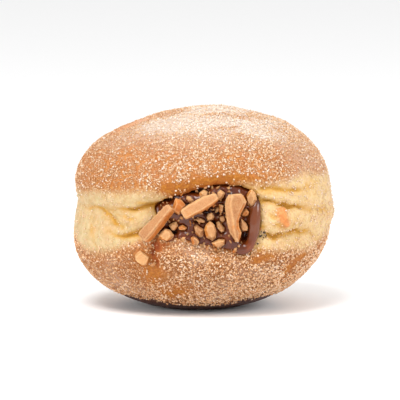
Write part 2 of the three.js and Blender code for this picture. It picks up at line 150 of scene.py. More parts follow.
def rounded_outline(corners, parts=4):
    """A closed smooth line through the corners."""
    p = np.array(corners, float)[:, None]
    a, b, c, d = np.roll(p, 1, 0), p, np.roll(p, -1, 0), np.roll(p, -2, 0)
    t = (np.arange(parts) / parts)[:, None]
    second, third = 2 * a - 5 * b + 4 * c - d, 3 * b - a - 3 * c + d
    return (0.5 * (2 * b + (c - a) * t + second * t**2 + third * t**3)).reshape(-1, 2)


def to_path(x, z, path):
    """Distance to a path of straight stretches, and the share of it that lies before."""
    nearest = np.full(len(x), 1e9)
    share = np.zeros(len(x))
    for i in range(1, len(path)):
        (ax, az), (bx, bz) = path[i - 1], path[i]
        dx, dz = bx - ax, bz - az
        part = np.clip(((x - ax) * dx + (z - az) * dz) / (dx**2 + dz**2), 0, 1)
        away = np.hypot(x - ax - part * dx, z - az - part * dz)
        closer = away < nearest
        nearest[closer] = away[closer]
        share[closer] = ((i - 1 + part) / (len(path) - 1))[closer]
    return nearest, share


MOUTH_LINE = rounded_outline(MOUTH)


def from_mouth(x, z):
    """Distance outside the slit's outline seen from the front, negative inside it."""
    path = np.vstack([MOUTH_LINE, MOUTH_LINE[:1]])
    inside = np.zeros(len(x), bool)
    for (ax, az), (bx, bz) in zip(path[:-1], path[1:]):
        if az != bz:
            inside ^= ((az > z) != (bz > z)) & (x < ax + (bx - ax) * (z - az) / (bz - az))
    return np.where(inside, -1, 1) * to_path(x, z, path)[0]


# ---- Repeatable unevenness ----


def corner_values(cells, seed):
    """A repeatable value from -1 to 1 for each whole-numbered cell."""
    n = cells.astype(np.int64)
    h = (n[:, 0] * 73856093) ^ (n[:, 1] * 19349663) ^ (n[:, 2] * 83492791)
    h = (h ^ (seed * 2654435761)) & 0x7FFFFFFF
    h = ((h ^ (h >> 13)) * 1274126177) & 0x7FFFFFFF
    h = ((h ^ (h >> 16)) * 668265263) & 0x7FFFFFFF
    return ((h >> 8) & 0xFFFF) / 32767.5 - 1.0


def value_noise(points, size, seed):
    """Smooth noise from -1 to 1 whose lumps are about size wide."""
    p = points / size
    cell = np.floor(p)
    f = p - cell
    f = f * f * (3 - 2 * f)
    total = np.zeros(len(points))
    for step in np.ndindex(2, 2, 2):
        wx, wy, wz = np.where(step, f, 1 - f).T
        total += wx * wy * wz * corner_values(cell + step, seed)
    return total


def rough_noise(points, size, seed, octaves=3):
    total = np.zeros(len(points))
    for k in range(octaves):
        total += value_noise(points, size / 2**k, seed + 7 * k) / 2**k
    return total / (2 - 0.5 ** (octaves - 1))


# ---- Modelling helpers ----


def pick(piece):
    """Only this piece is selected, and it is the active one."""
    if bpy.context.object and bpy.context.object.mode != "OBJECT":
        bpy.ops.object.mode_set(mode="OBJECT")
    bpy.ops.object.select_all(action="DESELECT")
    piece.select_set(True)
    bpy.context.view_layer.objects.active = piece


def finish_with(piece, kind, **settings):
    """Adds a modifier and applies it."""
    pick(piece)
    modifier = piece.modifiers.new(kind.lower(), kind)
    for key, value in settings.items():
        setattr(modifier, key, value)
    bpy.ops.object.modifier_apply(modifier=modifier.name)


@contextmanager
def editing(piece):
    """Edit mode with all of the piece selected."""
    pick(piece)
    bpy.ops.object.mode_set(mode="EDIT")
    bpy.ops.mesh.select_all(action="SELECT")
    yield
    bpy.ops.object.mode_set(mode="OBJECT")


def new_object(name, data):
    piece = bpy.data.objects.new(name, data)
    SCENE.collection.objects.link(piece)
    return piece


def resurface(piece, voxel, passes):
    """A fine even surface in place of the CAD's facets, then smoothed."""
    finish_with(piece, "REMESH", mode="VOXEL", voxel_size=voxel, adaptivity=0.0)
    if passes:
        finish_with(piece, "SMOOTH", factor=0.5, iterations=passes)


def copied_node(node_name, name):
    """A separate piece with the form of a CAD node, its loose triangles merged."""
    piece = new_object(name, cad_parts[node_name].data.copy())
    piece.data.name = name
    with editing(piece):
        bpy.ops.mesh.remove_doubles(threshold=2e-6)
    return piece


def read(rows, key, width=3, kind=np.float32):
    flat = np.zeros(len(rows) * width, kind)
    rows.foreach_get(key, flat)
    return flat.reshape(-1, width)


def places(piece):
    return read(piece.data.vertices, "co").astype(float)


def own_places(piece):
    """Every point in the doughnut's own millimetres."""
    return places(piece) * 1000.0 - ORIGIN


def move_to(piece, own):
    """Moves every point, given in the doughnut's own millimetres."""
    piece.data.vertices.foreach_set("co", to_row(own).astype(np.float32).ravel())
    piece.data.update()


def normals(piece):
    return read(piece.data.vertex_normals, "vector").astype(float)


def keep_values(piece, **layers):
    """Keeps values from 0 to 1 at the piece's points, for its finish to read."""
    for name, values in layers.items():
        layer = piece.data.attributes.new(name, "FLOAT", "POINT")
        layer.data.foreach_set("value", np.clip(values, 0, 1).astype(np.float32))


def dress(piece, finish):
    """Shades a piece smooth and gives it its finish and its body."""
    pick(piece)
    bpy.ops.object.shade_smooth()
    piece.data.materials.clear()
    piece.data.materials.append(finish)
    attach(piece, "root")
    return piece


def mesh_piece(name, points, faces):
    """A piece from arrays: points in the doughnut's own millimetres, and triangles."""
    mesh = bpy.data.meshes.new(name)
    mesh.vertices.add(len(points))
    mesh.vertices.foreach_set("co", to_row(points).astype(np.float32).ravel())
    mesh.loops.add(faces.size)
    mesh.loops.foreach_set("vertex_index", faces.astype(np.int32).ravel())
    mesh.polygons.add(len(faces))
    mesh.polygons.foreach_set("loop_start", np.arange(0, faces.size, 3, dtype=np.int32))
    mesh.polygons.foreach_set("loop_total", np.full(len(faces), 3, np.int32))
    mesh.update(calc_edges=True)
    mesh.validate()
    return new_object(name, mesh)


# ---- Finishes ----

LIGHT_LEVEL = 1.45  # the soft light falls this much stronger than a plain white level of 1


def colour(red, green, blue):
    """A colour as it looks under the soft light, from 0 to 255, made linear."""
    parts = []
    for value in (red, green, blue):
        c = value / 255
        linear = c / 12.92 if c <= 0.04045 else ((c + 0.055) / 1.055) ** 2.4
        parts.append(linear / LIGHT_LEVEL)
    return (*parts, 1.0)


TREES = []  # shader trees, and each node is added to the one begun last


def node(kind, settings=None, **inputs):
    """Adds a shader node. An input is a value or another node's output."""
    tree = TREES[-1]
    made = tree.nodes.new(kind)
    for key, value in (settings or {}).items():
        setattr(made, key, value)
    for key, value in inputs.items():
        socket = made.inputs[int(key[1:]) if key[0] == "_" else key]
        if isinstance(value, bpy.types.NodeSocket):
            tree.links.new(value, socket)
        else:
            socket.default_value = value
    return made


def blend(share, first, second, way="MIX"):
    """The second colour over the first. Three numbers are a colour as it looks, 0 to 255."""
    first, second = (
        colour(*c) if isinstance(c, tuple) and len(c) == 3 else c for c in (first, second)
    )
    settings = {"data_type": "RGBA", "blend_type": way, "clamp_factor": True}
    return node("ShaderNodeMix", settings, _0=share, _6=first, _7=second).outputs[2]


def layered(base, *layers):
    """Colours laid over a base in turn, each by its share."""
    for share, over in layers:
        base = blend(share, base, over)
    return base


def sums(way, first, second):
    return node("ShaderNodeMath", {"operation": way}, _0=first, _1=second).outputs[0]


def times(first, second):
    return sums("MULTIPLY", first, second)


def plus(first, second):
    return sums("ADD", first, second)


def ramp(value, low, high, out_low=0.0, out_high=1.0):
    ends = {"_1": low, "_2": high, "_3": out_low, "_4": out_high}
    return node("ShaderNodeMapRange", {"clamp": True}, _0=value, **ends).outputs[0]


def held(name):
    return node("ShaderNodeAttribute", {"attribute_name": name}).outputs["Fac"]


def new_group(name, inputs, outputs):
    """A node group with named numbers going in and coming out, and the piece's own place."""
    tree = bpy.data.node_groups.new(name, "ShaderNodeTree")
    TREES.append(tree)
    for key, value in inputs.items():
        socket = tree.interface.new_socket(key, in_out="INPUT", socket_type="NodeSocketFloat")
        socket.default_value = value
    for key in outputs:
        tree.interface.new_socket(key, in_out="OUTPUT", socket_type="NodeSocketFloat")
    return tree, node("NodeGroupInput").outputs, node("ShaderNodeTexCoord").outputs["Object"]


def mottle_group():
    """Cloudy noise on the piece's own place, stretched between two levels to a mask."""
    levels = {"Scale": 100.0, "Detail": 3.0, "Low": 0.35, "High": 0.65}
    tree, given, place = new_group("Mottle", levels, ["Mask"])
    cloud = node("ShaderNodeTexNoise", Vector=place, Scale=given["Scale"], Detail=given["Detail"])
    node("NodeGroupOutput", Mask=ramp(cloud.outputs["Fac"], given["Low"], given["High"]))
    return tree


def speck_group():
    """Small separate specks: 1 at a speck's middle and 0 between, and each speck's own tone."""
    levels = {"Scale": 1500.0, "Size": 0.3, "Softness": 0.1}
    tree, given, place = new_group("Specks", levels, ["Mask", "Tone"])
    cells = node("ShaderNodeTexVoronoi", Vector=place, Scale=given["Scale"]).outputs
    edge = ramp(cells["Distance"], plus(given["Size"], given["Softness"]), given["Size"])
    parts = node("ShaderNodeSeparateColor", _0=cells["Color"])
    node("NodeGroupOutput", Mask=edge, Tone=parts.outputs[0])
    return tree


MOTTLE = mottle_group()
SPECKS = speck_group()


def placed(group, **values):
    return node("ShaderNodeGroup", {"node_tree": group}, **values).outputs


def mottle(scale, low, high, detail=3.0):
    return placed(MOTTLE, Scale=scale, Detail=detail, Low=low, High=high)["Mask"]


def new_finish(name, **fixed):
    """A material with the given numbers and colours on its shader's own sockets."""
    finish = bpy.data.materials.new(name)
    finish.use_nodes = True
    TREES.append(finish.node_tree)
    shader = finish.node_tree.nodes["Principled BSDF"]
    for key, value in fixed.items():
        shader.inputs[key.replace("_", " ")].default_value = value
    return finish


def wire(finish, base, rough=None, height=None, depth=0):
    """Feeds the shader its colour, and its roughness and relief where they vary."""
    fed = {"Base Color": base}
    if height is not None:
        relief = node("ShaderNodeBump", Strength=1.0, Distance=depth, Height=height)
        fed.update(Roughness=rough, Normal=relief.outputs[0])
    tree = finish.node_tree
    for key, value in fed.items():
        tree.links.new(value, tree.nodes["Principled BSDF"].inputs[key])
    return finish


def crust_finish():
    """Fried crust over pale dough: the piece's own values say where each lies."""
    finish = new_finish(
        "fried_crust", Subsurface_Weight=0.12, Subsurface_Scale=0.003,
        Subsurface_Radius=(1.0, 0.5, 0.2), Specular_IOR_Level=0.18,
    )
    dusted, creased = held("dusted"), held("creased")
    clouds = mottle(170, 0.30, 0.70)
    blotches = mottle(520, 0.34, 0.68)
    fine = mottle(1500, 0.36, 0.64)
    rosy = mottle(260, 0.45, 0.75)

    golden = layered((252, 174, 106), (clouds, (242, 154, 74)), (rosy, (234, 154, 108)))
    deep = blend(blotches, (174, 98, 14), (206, 131, 36))
    uneven = plus(held("toasted"), ramp(blotches, 0, 1, -0.16, 0.18))
    crust = layered(
        golden, (uneven, deep), (times(fine, 0.65), (152, 84, 34)),
        (held("deeper"), (156, 90, 40)), (held("glazed"), (250, 166, 98)),
        # The downward-facing underside is painted near black-brown: partly its darker fried crust,
        # partly painted shade where it meets the floor
        (held("under"), (84, 40, 26)),
    )

    # The dough is paler towards the right
    place = node("ShaderNodeTexCoord").outputs["Object"]
    across = node("ShaderNodeSeparateXYZ", _0=place).outputs[0]
    darker = blend(clouds, (198, 166, 114), (212, 191, 138))
    paler = blend(clouds, (234, 194, 132), (246, 218, 162))
    dough = layered(
        darker, (ramp(across, -0.035, 0.02), paler),
        (times(fine, 0.55), (212, 162, 100)), (times(blotches, 0.4), (248, 228, 190)),
        (times(rosy, 0.35), (240, 186, 140)),
    )

    ragged = plus(held("browned"), ramp(fine, 0, 1, -0.14, 0.14))
    edge = ramp(ragged, 0.08, 0.92)
    # Painted shade: the pale waist is painted deeper yellow where its relief sinks in
    sunk = times(held("sunk"), ramp(edge, 0, 1, 0.8, 0))
    # Crease colours: partly the dough's own tint, partly painted shade darkening the creases
    crease_tint_and_shade = blend(edge, (216, 158, 56), (176, 90, 30))
    deep_crease_tint_and_shade = blend(edge, (184, 122, 20), (136, 50, 0))
    base = layered(
        dough, (edge, crust), (sunk, (226, 172, 84)),
        (ramp(creased, 0.0, 0.45, 0, 0.8), crease_tint_and_shade), (ramp(creased, 0.4, 1.0), deep_crease_tint_and_shade),
    )

    # Sugar ground to powder: a veil where it lies thick, whiter on the crown where it is partly
    # painted sheen, and specks finer than the crystals
    specks = placed(SPECKS, Scale=2300, Size=0.36, Softness=0.16)
    dots = times(specks["Mask"], ramp(dusted, 0.02, 0.4))
    warm = blend(specks["Tone"], (186, 114, 62), (250, 206, 160))
    veil = times(ramp(dusted, 0.5, 0.95), ramp(fine, 0, 1, 0.55, 0.9))
    powdered = times(held("powdered"), ramp(fine, 0, 1, 0.7, 1.0))
    base = layered(
        base, (times(dots, 0.55), warm),
        (sums("MAXIMUM", veil, powdered), (248, 228, 210)),
    )
    height = plus(plus(times(fine, 0.6), times(dots, 0.8)), times(blotches, 0.7))
    return wire(finish, base, ramp(dusted, 0, 1, 0.5, 0.85), height, 0.00016)


def cream_finish():
    finish = new_finish(
        "chocolate_cream", Specular_IOR_Level=0.32, Coat_Weight=0.3, Coat_Roughness=0.05,
    )
    # The hollows are painted near black, as painted shade beside and among the nuts and under the
    # lip
    # The rolled edge is painted lighter, as painted light where the raised rope catches the lamps
    base = layered(
        (106, 40, 8), (mottle(260, 0.35, 0.7), (134, 62, 20)),
        (held("roll"), (120, 60, 28)), (held("hollow"), (56, 18, 6)),
    )
    rough = ramp(mottle(700, 0.3, 0.7), 0, 1, 0.14, 0.26)
    return wire(finish, base, rough, mottle(380, 0.3, 0.7), 0.00006)


def almond_finish():
    """Cut almond: pale to golden inside, orange-brown where its roasted skin is."""
    finish = new_finish(
        "roasted_almond", Subsurface_Weight=0.1, Subsurface_Scale=0.0015,
        Subsurface_Radius=(1.0, 0.5, 0.25), Specular_IOR_Level=0.3,
    )
    tone, skin, edges = (held(name) for name in ("tone", "skin", "edges"))
    streaks = mottle(900, 0.32, 0.68)
    grain = mottle(3000, 0.36, 0.64, 2.0)
    spots = mottle(1700, 0.56, 0.72, 2.0)
    flesh = layered(
        (224, 168, 108), (ramp(tone, 0, 0.5), (200, 138, 84)),
        (ramp(tone, 0.5, 1.0), (164, 100, 48)), (times(streaks, 0.4), (196, 130, 78)),
        (times(grain, 0.3), (240, 190, 136)), (times(spots, 0.35), (180, 108, 56)),
    )
    roasted = layered(
        (232, 152, 66), (tone, (204, 118, 42)), (times(streaks, 0.5), (176, 92, 32))
    )
    ragged = ramp(plus(skin, ramp(streaks, 0, 1, -0.2, 0.2)), 0.3, 0.7)
    # Edges that stand out are painted paler, partly broken flesh and partly painted highlight;
    # sunken edges are darker as painted shade
    base = layered(
        flesh, (ragged, roasted), (ramp(edges, 0.6, 1.0, 0, 0.4), (248, 200, 144)),
        (ramp(edges, 0.4, 0.05, 0, 0.5), (150, 82, 34)),
    )
    height = plus(times(grain, 0.5), streaks)
    return wire(finish, base, ramp(grain, 0, 1, 0.42, 0.6), height, 0.00011)


def sugar_finish():
    """Sugar takes on the warmth of the crust that shows through each grain, and grains low down
    are painted warmer and brighter as painted light.
    """
    finish = new_finish("white_sugar", Roughness=0.25, Specular_IOR_Level=0.6)
    tint = held("tint")
    base = layered(
        (206, 136, 80), (ramp(tint, 0, 0.3), (234, 176, 122)),
        (ramp(tint, 0.3, 0.6), (252, 212, 168)), (ramp(tint, 0.6, 1.0), (264, 244, 228)),
    )
    # Painted light: grains low down are made warmer and brighter
    low_grain_light = blend(held("low"), (1, 1, 1, 1), (1.08, 1.0, 0.9, 1))
    return wire(finish, blend(1.0, base, low_grain_light, "MULTIPLY"))


def cocoa_finish():
    finish = new_finish("dark_cocoa", Roughness=0.6)
    return wire(finish, blend(mottle(1500, 0.3, 0.7), (40, 26, 14), (84, 56, 30)))


CRUST = crust_finish()
CREAM = cream_finish()
ALMOND = almond_finish()
SUGAR = sugar_finish()
COCOA = cocoa_finish()

# ---- Forms that more than one piece needs ----


def hull_of(points):
    """The convex hull of a few points, as points and triangles."""
    mesh = bpy.data.meshes.new("hull")
    mesh.from_pydata([tuple(p) for p in points], [], [])
    piece = new_object("hull", mesh)
    with editing(piece):
        bpy.ops.mesh.convex_hull()
        bpy.ops.mesh.select_all(action="SELECT")
        bpy.ops.mesh.quads_convert_to_tris()
    co = places(piece)
    tris = np.array([tuple(p.vertices) for p in piece.data.polygons if len(p.vertices) == 3])
    used = np.unique(tris)
    slots = np.zeros(len(co), int)
    slots[used] = np.arange(len(used))
    bpy.data.objects.remove(piece)
    bpy.data.meshes.remove(mesh)
    return co[used], slots[tris]


# Chopped pieces: how far each stands out, its corners seen from the front, its tone from pale
# to golden, which way its roasted skin faces and how much of it is skin
CHIPS = [
    (2.9, [(16.1, 44.2), (17.3, 43.2), (17.9, 40.7), (17.3, 38.6), (16.2, 37.9),
     (14.8, 38.8), (14.4, 41.7), (15.0, 43.2)], 0.25, (-1, 0, 0.1), 0.45),
    (3.4, [(2.1, 34.0), (3.6, 32.9), (4.3, 30.6), (4.2, 28.3), (3.0, 27.2), (1.0, 28.5),
     (0.2, 31.0), (0.8, 32.7)], 0.5, (-0.9, -0.2, 0.2), 0.5),
    (3.0, [(-12.8, 31.3), (-11.1, 30.8), (-9.8, 29.0), (-10.4, 27.7), (-12.5, 27.0),
     (-14.5, 27.7), (-15.1, 28.9), (-14.0, 30.4)], 0.3, (-0.1, -0.3, -0.95), 0.75),
    (2.4, [(-9.3, 41.6), (-7.2, 40.9), (-5.9, 39.3), (-8.1, 35.9), (-9.6, 36.7), (-10.8, 37.6)],
     1.0, (0.2, -1, 0), 1.0),
    (2.6, [(2.6, 26.6), (5.1, 27.9), (7.2, 27.7), (7.0, 26.0), (4.9, 24.8), (3.6, 25.5)],
     0.3, (-0.7, -0.2, -0.6), 0.45),
    (2.4, [(-4.3, 28.3), (-3.4, 28.9), (-2.0, 28.3), (-1.3, 27.1), (-1.9, 26.0), (-3.6, 25.8)],
     0.95, (-1, -0.2, 0), 0.6),
    (2.3, [(0.0, 44.3), (1.5, 43.6), (1.3, 41.7), (0.2, 40.9), (-1.3, 41.9), (-1.5, 43.2)],
     0.1, (-1, 0, -0.3), 0.5),
    (2.2, [(5.7, 44.3), (7.2, 43.2), (6.7, 41.7), (5.4, 40.7), (4.4, 41.9), (4.6, 43.4)],
     0.25, (-0.8, 0, -0.6), 0.4),
    (1.9, [(-5.7, 42.2), (-4.5, 42.0), (-3.2, 40.7), (-3.6, 39.5), (-4.9, 40.1), (-5.8, 41.2)],
     0.25, (0, 0, -1), 0.4),
    (2.0, [(-3.2, 32.1), (-2.4, 32.7), (0.2, 31.1), (-0.2, 28.7), (-1.0, 28.3), (-2.8, 29.8)],
     0.9, (-0.5, 0, -1), 0.4),
    (2.0, [(4.2, 33.2), (5.1, 33.8), (7.0, 31.4), (7.0, 30.2), (5.9, 29.9), (4.4, 31.6)],
     0.5, (-1, 0, 0.3), 0.4),
    (2.0, [(12.6, 34.6), (14.3, 32.9), (14.9, 31.3), (14.7, 30.4), (12.8, 30.3), (12.0, 32.1)],
     0.6, (0.6, 0, -1), 0.4),
    (1.9, [(-10.4, 33.2), (-9.1, 33.6), (-8.5, 32.1), (-9.4, 30.6), (-10.6, 30.6), (-11.7, 32.3)],
     0.35, (0.8, 0, -0.6), 0.4),
    (1.3, [(-8.5, 31.7), (-7.0, 32.5), (-5.5, 31.5), (-6.2, 30.6), (-8.1, 30.8)],
     1.0, (0, -1, 0), 0.9),
    (1.9, [(1.5, 36.3), (2.8, 36.7), (3.7, 35.3), (3.1, 34.2), (1.5, 33.8), (1.0, 35.1)],
     0.4, (-0.7, 0, -0.7), 0.4),
    (1.5, [(5.2, 39.4), (6.8, 39.1), (6.6, 37.0), (5.8, 36.1), (5.0, 37.4)], 0.7, (-1, 0, 0), 0.5),
    (1.4, [(13.0, 37.0), (14.3, 37.8), (15.3, 36.7), (14.9, 35.3), (13.2, 35.1), (12.4, 35.8)],
     0.9, (0.1, -1, 0), 0.8),
    (1.3, [(-3.0, 34.4), (-0.9, 34.8), (0.6, 33.9), (0.4, 33.2), (-1.7, 33.4)],
     0.8, (0, -0.3, -1), 0.7),
    (1.4, [(5.4, 35.1), (6.8, 35.4), (7.4, 34.2), (6.6, 33.4), (5.5, 33.9)], 0.45, (1, 0, 0), 0.4),
]
FALLEN_CHIP = (
    2.7, [(-21.3, 24.1), (-17.9, 21.7), (-19.0, 18.6), (-20.3, 18.5), (-22.8, 20.1), (-22.9, 21.9)],
    0.0, (0.9, 0, -0.7), 0.5,
)
CHIP_ROOT = 1.3


def chip_hull(row, face_at, seed, share=0.6):
    """A chopped piece as points and triangles: the hull of its outline at three depths."""
    stands, outline = row[:2]

    def loose(k):
        """A repeatable draw from -0.5 to 0.5."""
        wave = math.sin((seed * 31 + k) * 127.1 + 11.7) * 43758.5453
        return wave - math.floor(wave) - 0.5

    middle = np.array(outline).mean(0)
    face = float(face_at(middle[:1], middle[1:])[0])
    tilt = 0.22 * loose(90), 0.22 * loose(91)
    shift = 1.8 * loose(92), 1.8 * loose(93)
    corners = []
    for j, (x, z) in enumerate(outline):
        across, up = x - middle[0], z - middle[1]
        top = stands * (1 + 0.16 * loose(j)) + tilt[0] * across + tilt[1] * up
        inwards = share + 0.3 * loose(j + 20)
        top_x = middle[0] + across * inwards + shift[0] * 0.4
        top_z = middle[1] + up * inwards + shift[1] * 0.4
        corners += [
            (x - 0.08 * across, face + CHIP_ROOT, z - 0.08 * up),
            (x, face - stands * (0.5 + 0.4 * loose(j + 40)), z), (top_x, face - top, top_z),
        ]
    return hull_of(corners)


# ---- The bun ----

BUN_VOXEL = 0.00062

# Height of the brown crust's borders by longitude: 0 is the front and 90 the right side
UPPER_BORDER = [
    (-180, 44), (-120, 43.5), (-73, 40.8), (-51, 42.3), (-36, 42.8), (-30, 43.6), (-24, 43.6),
    (-18, 42.6), (-14, 41.6), (0, 42), (10, 42.6), (15, 45), (22, 45.6), (26, 45.6), (34, 45.9),
    (43, 46.9), (55, 48.2), (69, 46.8), (120, 45), (180, 44),
]
LOWER_BORDER = [
    (-180, 23.5), (-120, 23), (-95, 25.5), (-75, 22), (-66, 20.5), (-51, 21.3), (-45, 22),
    (-40, 23.4), (-34, 25), (-27, 28), (-21, 33), (0, 34), (14, 32), (21, 27), (25, 23.4),
    (29, 23.2), (36, 22.6), (45, 22.9), (62, 21.7), (75, 24.6), (95, 24), (130, 23.5),
    (180, 23.5),
]
AHEAD, ABOVE = 0.9925, 0.1219  # towards an eye in front and 7 degrees above level
# As that eye sees them, in mm: across, up, half width, half height, lean in degrees, amount.
# Bare, oily crust first, then thick sugar.
BARE_PATCHES = [
    (-17.3, 11.6, 5.6, 4.8, 0, 0.68), (-9.0, 4.6, 6.4, 2.4, 5, 0.7), (4.1, 16.3, 1.8, 1.9, 0, 0.7),
    (20.6, 16.4, 4.8, 1.8, 5, 0.85), (30.6, 13.6, 1.1, 5.6, -41, 1),
    (-11.6, 40.4, 2.6, 1.8, 0, 0.6),
    (-26, 60.6, 7.5, 1.1, 24, 0.9), (-13, 64.6, 8, 0.8, 13, 0.9), (7.4, 59.8, 4.8, 0.4, 4, 0.8),
    (14.5, 63.4, 6.0, 0.5, -3, 0.7), (4, 64.6, 5, 0.4, 2, 0.5), (-2, 41.4, 13, 1.3, 8, 0.5),
    (12, 43.0, 8, 1.3, 0, 0.5),
]
WHITE_PATCHES = [
    (-9.5, 61.0, 10, 2.2, 8, 1.2), (5.8, 66.2, 12, 1.3, 0, 1.0), (10, 61.5, 9, 1.0, 0, 0.9),
    (18.4, 57.6, 8, 1.8, -12, 0.7), (-30, 52, 6, 7, 20, 0.35),
    (2.4, 16.3, 5, 1.9, 0, 0.6), (2, 60, 20, 4, 0, 0.45), (2, 18, 13, 5, 0, 0.35),
    (26, 60, 6, 3, -30, 0.4), (18, 12, 10, 3, 10, 0.15), (-6, 20, 5, 2.5, 0, 0.3),
    (-29, 9, 7, 4, -30, 0.35),
]

# How much sugar powder lies at each height, and how brown the crust is
POWDER = [
    (0, 0.5), (4, 0.55), (12, 0.5), (22, 0.42), (43, 0.28), (48, 0.36), (55, 0.45), (61, 0.58),
    (66, 0.72),
]
BROWNING = [
    (0, 0.75), (10, 0.55), (22, 0.4), (30, 0.3), (42, 0.75), (47, 0.45), (54, 0.25), (62, 0.15),
    (68, 0.1),
]


def between(value, rows):
    """Read off a table of places and amounts."""
    return np.interp(value, *zip(*rows))


def patches(u, v, own, rows):
    """Soft ragged patches."""
    total = np.zeros(len(u))
    stray_u = 2.0 * rough_noise(own, 6, 83) + 0.8 * value_noise(own, 1.6, 87)
    stray_v = 1.6 * rough_noise(own, 5, 89) + 0.6 * value_noise(own, 1.6, 97)
    for across, up, wide, high, lean, amount in rows:
        c, d = math.cos(math.radians(lean)), math.sin(math.radians(lean))
        ragged = min(1.0, high / 2)
        du, dv = u - across + ragged * stray_u, v - up + ragged * stray_v
        a = (du * c + dv * d) / wide
        b = (-du * d + dv * c) / high
        total += amount * np.exp(-(a**2) - b**2)
    return total


def inside_hull(points, hull, margin):
    """Which points lie inside a convex body of points and triangles, within a margin."""
    corners, faces = hull
    middle = corners.mean(0)
    held_in = np.ones(len(points), bool)
    for a, b, c in corners[faces]:
        out = np.cross(b - a, c - a)
        size = np.linalg.norm(out)
        if size < 1e-6:
            continue
        out /= size
        if out @ (a - middle) < 0:
            out = -out
        held_in &= (points - a) @ out < margin
    return held_in


def roundness(piece, passes):
    """How far each point stands out from its neighbours, from -1 to 1."""
    a, b = read(piece.data.edges, "vertices", 2, np.int32).T
    co = places(piece) * 1000
    count = np.bincount(a, minlength=len(co)) + np.bincount(b, minlength=len(co))
    count = np.maximum(count, 1)[:, None]

    def around(values):
        total = np.zeros_like(values)
        np.add.at(total, a, values[b])
        np.add.at(total, b, values[a])
        return total / count

    flat = co
    for _ in range(passes):
        flat = around(flat)
    stands = ((co - flat) * normals(piece)).sum(1)
    stands = around(stands[:, None])[:, 0]
    spread = np.percentile(np.abs(stands), 92) + 1e-9
    return np.clip(stands / spread, -1, 1)


